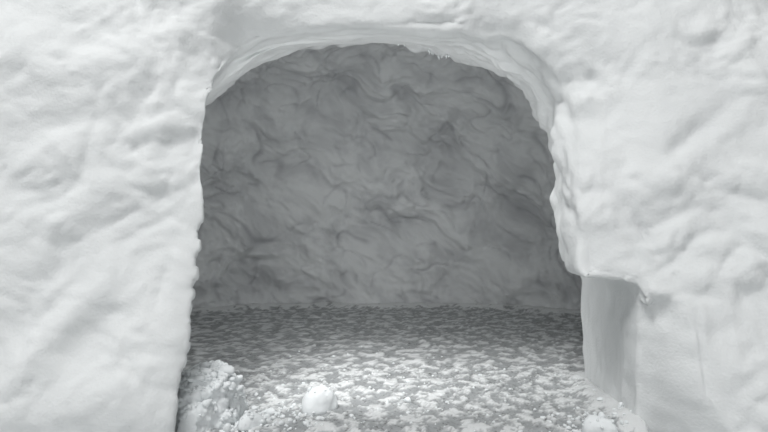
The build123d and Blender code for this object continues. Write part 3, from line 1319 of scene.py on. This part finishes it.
@dataclass
class LooseSnow:
    """Clods on the floor, the crumb heap at the left jamb, and the crumbs that lie about."""

    voxel: float = 0.0025
    seed: int = 7
    breaks: Relief = Relief(0.03, 0.004)
    stuck_sizes: tuple[float, ...] = (0.030, 0.016, 0.009)  # of the crumbs that stick to a lump
    drop_from: float = 0.2
    ground_from: float = 0.02  # nothing lower is floor
    scatters: Sequence[Scatter] = SCATTERS
    finish: SnowFinish = SnowFinish(
        "loose_snow",
        "#F0F3F4",
        "#E4E8E9",
        grain_mm=3.0,
        grain_depth_mm=0.5,
        lump_mm=14.0,
        lump_depth_mm=0.8,
    )

    def clod(self, node: bpy.types.Object, roughness: float) -> BMesh:
        """Works one lump: flats where it broke, and crumbs that stick to it.

        Args:
            node: The CAD node that it stands for.
            roughness: How far the crumbs stand out.

        Returns:
            The worked lump.
        """
        low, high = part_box(node.name)
        lump = remeshed(merged_copy([node]), self.voxel)
        relax(lump, lump.verts[:])
        lump.normal_update()
        moves = []
        for vert in lump.verts:
            crumbs = 0.0
            for size in self.stuck_sizes:
                distances, points = noise.voronoi(vert.co / size)
                big = 0.5 + 1.4 * noise.noise(points[0] * 3.7)
                crumbs += (0.6 - distances[0] ** 2) * big * size * roughness
            moves.append(vert.normal * (self.breaks.swell(vert.co) + crumbs))
        for vert, move in zip(lump.verts, moves, strict=True):
            place = vert.co + move
            for axis in range(3):
                place[axis] = min(max(place[axis], low[axis]), high[axis])
            vert.co = place
        return lump

    def crumbs(self, rng: random.Random, grounds: Sequence[BVHTree]) -> BMesh:
        """Scatters crumbs over the floor, thickest at the feet of the jambs.

        Args:
            rng: The seeded source of chance.
            grounds: The floor and the lumps that they lie on.

        Returns:
            All the crumbs in one mesh.
        """
        crumbs = bmesh.new()
        for scatter in self.scatters:
            for _ in range(scatter.count):
                x = rng.gauss(scatter.middle.x, scatter.spread)
                y = rng.gauss(scatter.middle.y, scatter.spread)
                above = Vector((x, y, self.drop_from))
                hits = [ground.ray_cast(above, -UP)[0] for ground in grounds]
                seats = [hit for hit in hits if hit is not None and hit.z > self.ground_from]
                if not seats:
                    continue
                spot = max(seats, key=lambda hit: hit.z)
                radius = scatter.size * rng.lognormvariate(0, 0.45)
                made = bmesh.ops.create_icosphere(crumbs, subdivisions=2, radius=radius)
                squash = Matrix.Diagonal((1.0, rng.uniform(0.6, 1.0), rng.uniform(0.5, 0.9), 1.0))
                spin = Matrix.Rotation(rng.uniform(0, math.tau), 4, "Z")
                tilt = Matrix.Rotation(rng.uniform(-0.4, 0.4), 4, "X")
                seat = Matrix.Translation(spot + Vector((0, 0, radius * 0.35)))
                bmesh.ops.transform(crumbs, matrix=seat @ spin @ tilt @ squash, verts=made["verts"])
                for vert in made["verts"]:
                    vert.co += noise.noise_vector(vert.co / (radius * 1.3)) * radius * 0.45
        for face in crumbs.faces:
            face.smooth = True
        return crumbs

    def build(self, frame: dict, floor: BVHTree) -> bpy.types.Material:
        """Builds the lumps and the crumbs.

        Args:
            frame: The loaded frame.
            floor: The floor's surface.

        Returns:
            The loose snow's material, for the rime.
        """
        material = self.finish.material()
        grounds = [floor]
        for name, roughness in LUMP_ROUGHNESS.items():
            lump = self.clod(frame["nodes"][name], roughness)
            grounds.append(BVHTree.FromBMesh(lump))
            piece = finished_piece(f"{name}_snow", lump, material)
            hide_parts(name)
        scattered = self.crumbs(random.Random(self.seed), grounds)
        piece = finished_piece("scattered_crumbs", scattered, material)
        return material


@dataclass
class RimeFringe:
    """The small drips of rime that hang from the inner edge of the arch."""

    edge_y: tuple[float, float] = (-0.50, -0.34)
    probes: int = 16  # how many steps across that edge the roots are looked for in
    probe_from: float = 0.45
    seed: int = 11
    clusters: tuple[tuple[float, float, int, float], ...] = (
        # place across, spread, how many and how long they are
        (0.048, 0.010, 3, 0.008),
        (0.125, 0.007, 4, 0.013),
        (0.160, 0.007, 3, 0.011),
        (-0.160, 0.030, 4, 0.006),
    )

    def root(self, x: float, walls: BVHTree) -> Vector | None:
        """Finds the lowest point of the soffit at one place across.

        Args:
            x: The place across.
            walls: The worked skin.

        Returns:
            The point, or None where no snow is overhead.
        """
        first, last = self.edge_y
        lowest = None
        for step in range(self.probes + 1):
            y = first + (last - first) * step / self.probes
            hit = walls.ray_cast(Vector((x, y, self.probe_from)), UP)[0]
            if hit is not None and (lowest is None or hit.z < lowest.z):
                lowest = hit
        return lowest

    def drip(self, mesh: BMesh, root: Vector, length: float, rng: random.Random) -> None:
        """Adds one knobbly drip.

        Args:
            mesh: The mesh that it goes into.
            root: Where it hangs from.
            length: How long it is.
            rng: The seeded source of chance.
        """
        width = length * rng.uniform(0.16, 0.24) + 0.0008
        place = Matrix.Translation(root - Vector((0, 0, length / 2 - 0.002)))
        lean = Matrix.Rotation(rng.uniform(-0.25, 0.25), 4, "Y")
        made = bmesh.ops.create_cone(
            mesh,
            cap_ends=True,
            segments=10,
            radius1=width * 0.25,
            radius2=width,
            depth=length,
            matrix=place @ lean,
        )
        for vert in made["verts"]:
            vert.co += noise.noise_vector(vert.co / 0.004) * width * 0.3

    def build(self, walls: BVHTree, material: bpy.types.Material) -> None:
        """Builds the drips.

        Args:
            walls: The worked skin that they hang from.
            material: The loose snow's material.
        """
        rng = random.Random(self.seed)
        mesh = bmesh.new()
        for across, spread, count, length in self.clusters:
            for _ in range(count):
                root = self.root(rng.gauss(across, spread), walls)
                if root is not None:
                    self.drip(mesh, root, length * rng.uniform(0.6, 1.2), rng)
        for face in mesh.faces:
            face.smooth = True
        piece = finished_piece("rime_fringe", mesh, material)


@dataclass(frozen=True)
class Lamp:
    """A soft rectangular lamp."""

    name: str
    place: tuple[float, float, float]
    aim: tuple[float, float, float]
    watts: float
    width: float
    height: float
    spread: float = 180.0  # degrees

    def build(self) -> None:
        """Hangs the lamp and points it at its aim."""
        data = bpy.data.lights.new(self.name, "AREA")
        data.shape = "RECTANGLE"
        data.size = self.width
        data.size_y = self.height
        data.energy = self.watts
        data.spread = math.radians(self.spread)
        lamp = placed(self.name, data)
        lamp.location = self.place
        towards = Vector(self.aim) - Vector(self.place)
        lamp.rotation_euler = towards.to_track_quat("-Z", "Y").to_euler()
        lamp.visible_camera = False


@dataclass
class Studio:
    """The floor, the lamps, the plain world and the camera of the photograph's view.

    The doorway lamp fills the opening and shines inwards, as the bright snow outside does.
    """

    eye: Vector = field(default_factory=lambda: Vector((0.0, -1.965, 0.41)))
    lens_mm: float = 27.0
    floor_half_width: float = 30.0
    floor_colour: str = "#C9CCCD"
    sky_colour: str = "#F7F8F9"
    sky_strength: float = 0.25
    set_of_lamps: tuple[Lamp, ...] = (
        Lamp("key_lamp", (-0.9, -2.4, 3.6), (0.0, -0.9, 0.45), 92.0, 1.2, 1.2),
        Lamp("level_lamp", (0.2, -5.5, 1.0), (0.0, -0.4, 0.45), 30.0, 2.2, 2.2),
        Lamp("doorway_lamp", (-0.08, -0.90, 0.38), (0.0, 0.50, 0.24), 1.9, 0.40, 0.40, 160.0),
        Lamp("ground_lamp", (0.0, -0.97, 0.14), (0.0, -0.72, 0.90), 0.16, 0.50, 0.10, 110.0),
        Lamp("back_lamp", (2.4, 3.6, 3.4), (0.0, 0.2, 0.5), 90.0, 2.0, 2.0),
    )

    def build(self) -> None:
        """Builds the whole studio."""
        self.camera()
        self.floor()
        self.lamps()

    def camera(self) -> None:
        """Sets up the camera, level and square to the front."""
        data = bpy.data.cameras.new("photo_camera")
        data.lens = self.lens_mm
        data.sensor_width = 36.0
        data.clip_start = 0.02
        camera = placed("photo_camera", data)
        camera.location = self.eye
        camera.rotation_euler = (math.radians(90), 0.0, 0.0)
        bpy.context.scene.camera = camera

    def floor(self) -> None:
        """Lays the plain pale floor."""
        mesh = bmesh.new()
        bmesh.ops.create_grid(mesh, x_segments=1, y_segments=1, size=self.floor_half_width)
        data = bpy.data.meshes.new("studio_floor")
        mesh.to_mesh(data)
        mesh.free()
        floor = placed("studio_floor", data)
        material = bpy.data.materials.new("studio_floor")
        material.use_nodes = True
        shader = material.node_tree.nodes["Principled BSDF"]
        shader.inputs["Base Color"].default_value = to_linear(self.floor_colour)
        shader.inputs["Roughness"].default_value = 0.9
        data.materials.append(material)

    def lamps(self) -> None:
        """Hangs the lamps and sets the plain world."""
        scene = bpy.context.scene
        world = bpy.data.worlds.new("plain_world")
        scene.world = world
        world.use_nodes = True
        sky = world.node_tree.nodes["Background"]
        sky.inputs["Color"].default_value = to_linear(self.sky_colour)
        sky.inputs["Strength"].default_value = self.sky_strength
        for lamp in self.set_of_lamps:
            lamp.build()
        scene.view_settings.view_transform = "Standard"


def main() -> None:
    """Builds the scene in order."""
    logging.basicConfig(level=logging.INFO, format="%(message)s")
    noise.seed_set(NOISE_SEED)
    Studio().build()
    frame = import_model()
    walls = SnowShell().build(frame)
    floor = TrampledFloor().build(frame, walls)
    loose_snow = LooseSnow().build(frame, floor)
    RimeFringe().build(walls, loose_snow)


if __name__ == "__main__":
    main()
